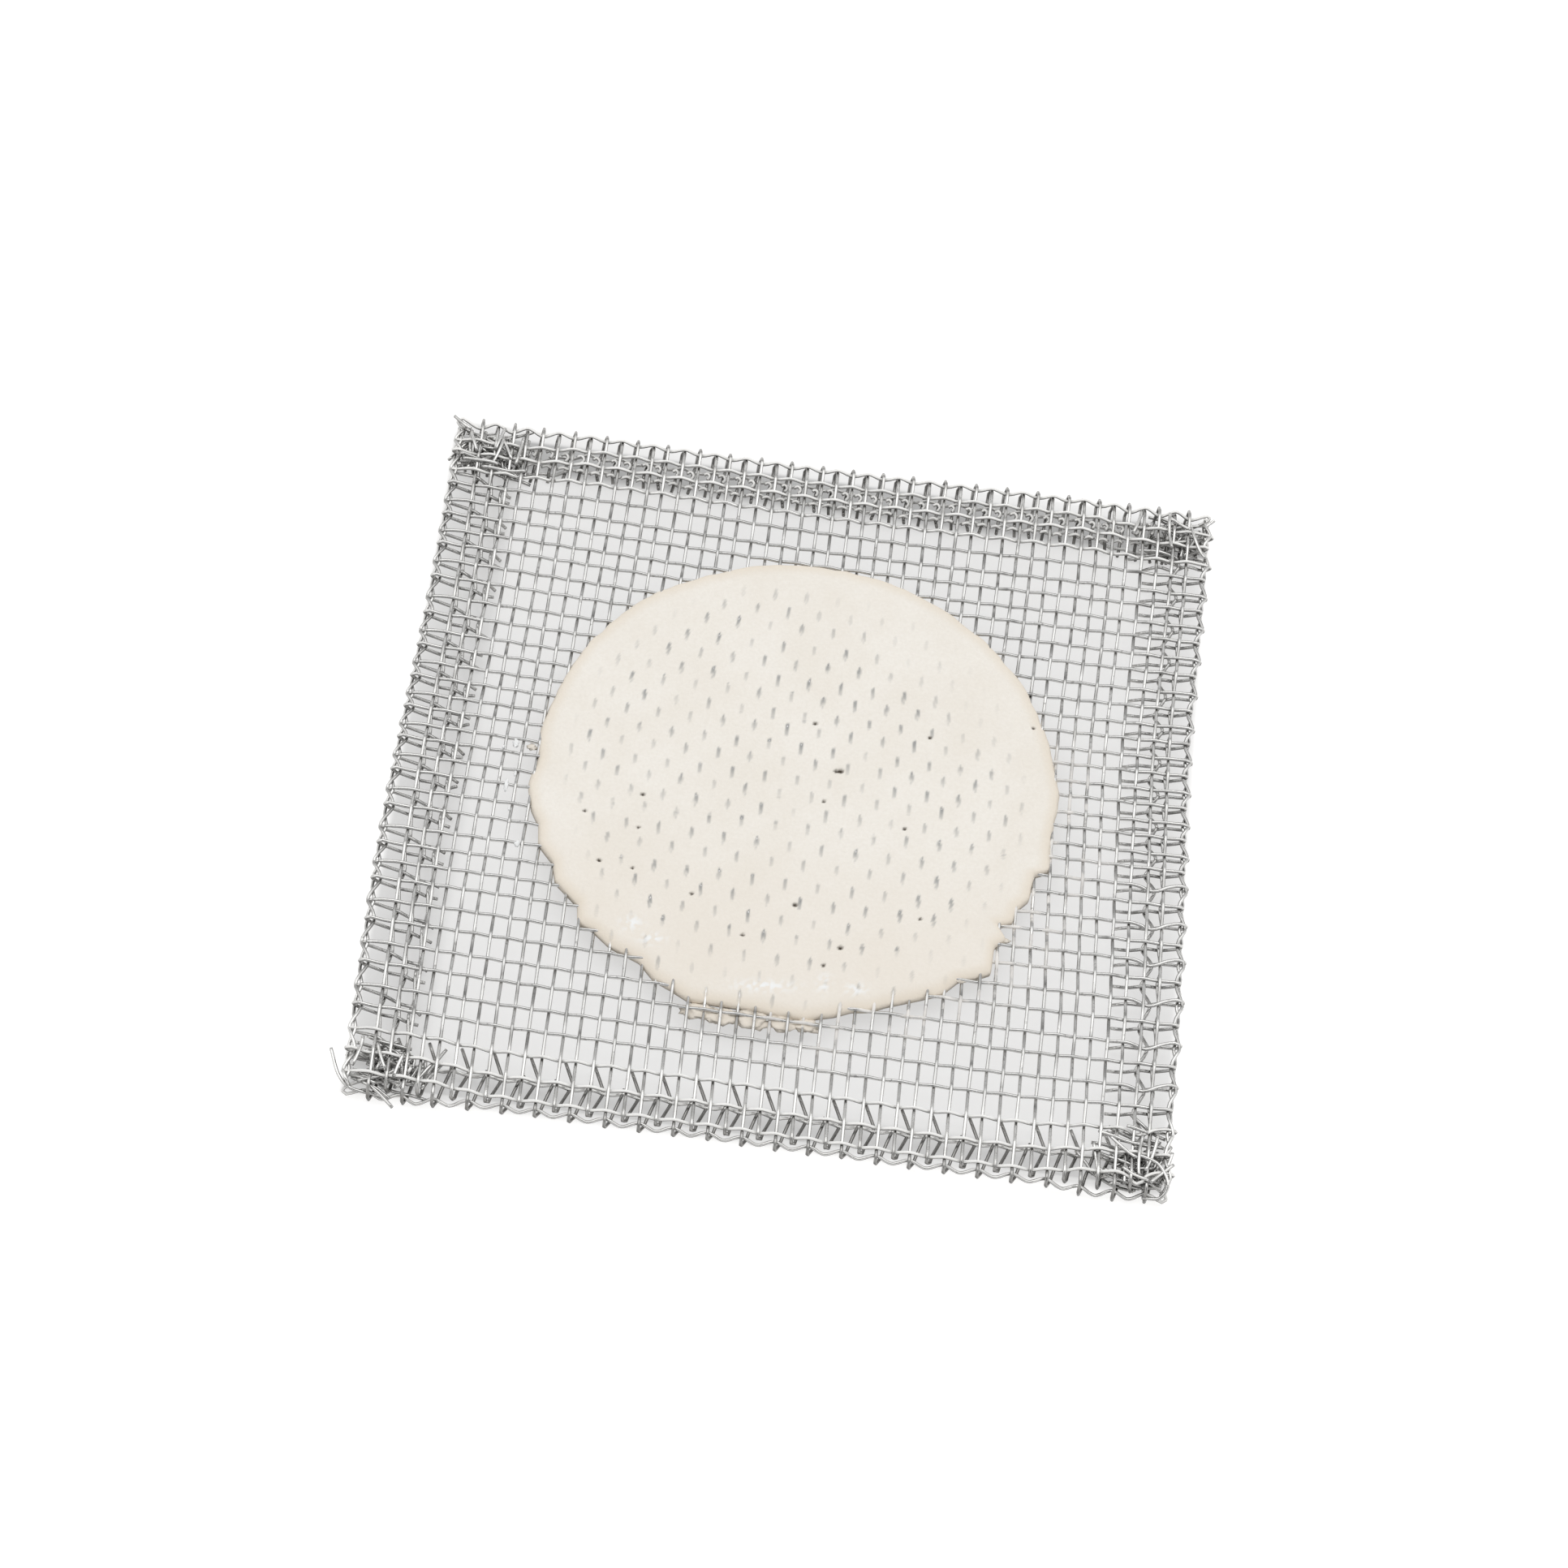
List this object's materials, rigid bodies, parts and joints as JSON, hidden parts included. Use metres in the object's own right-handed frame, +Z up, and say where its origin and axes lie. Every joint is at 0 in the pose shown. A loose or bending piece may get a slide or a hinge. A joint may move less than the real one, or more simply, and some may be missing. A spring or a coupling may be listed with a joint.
{
  "type": "wire gauze",
  "caption": "Square of woven wire with folded hems and a round ceramic pad in its middle, for spreading heat under a lab vessel.",
  "frame": {"origin": "under the middle of the sheet, on the plane that it rests on", "axes": "+Z up through the sheet's upper face, +X along the weft rows, +Y along the warps"},
  "size_m": [0.125, 0.125, 0.0047],
  "materials": {
    "wire": "galvanised drawn wire, dull with bright highlights",
    "ceramic": "unglazed, matt and slightly pitted"
  },
  "bodies": {
    "root": {"wire_sheet": "wire", "ceramic_pad": "ceramic"}
  },
  "joints": []
}
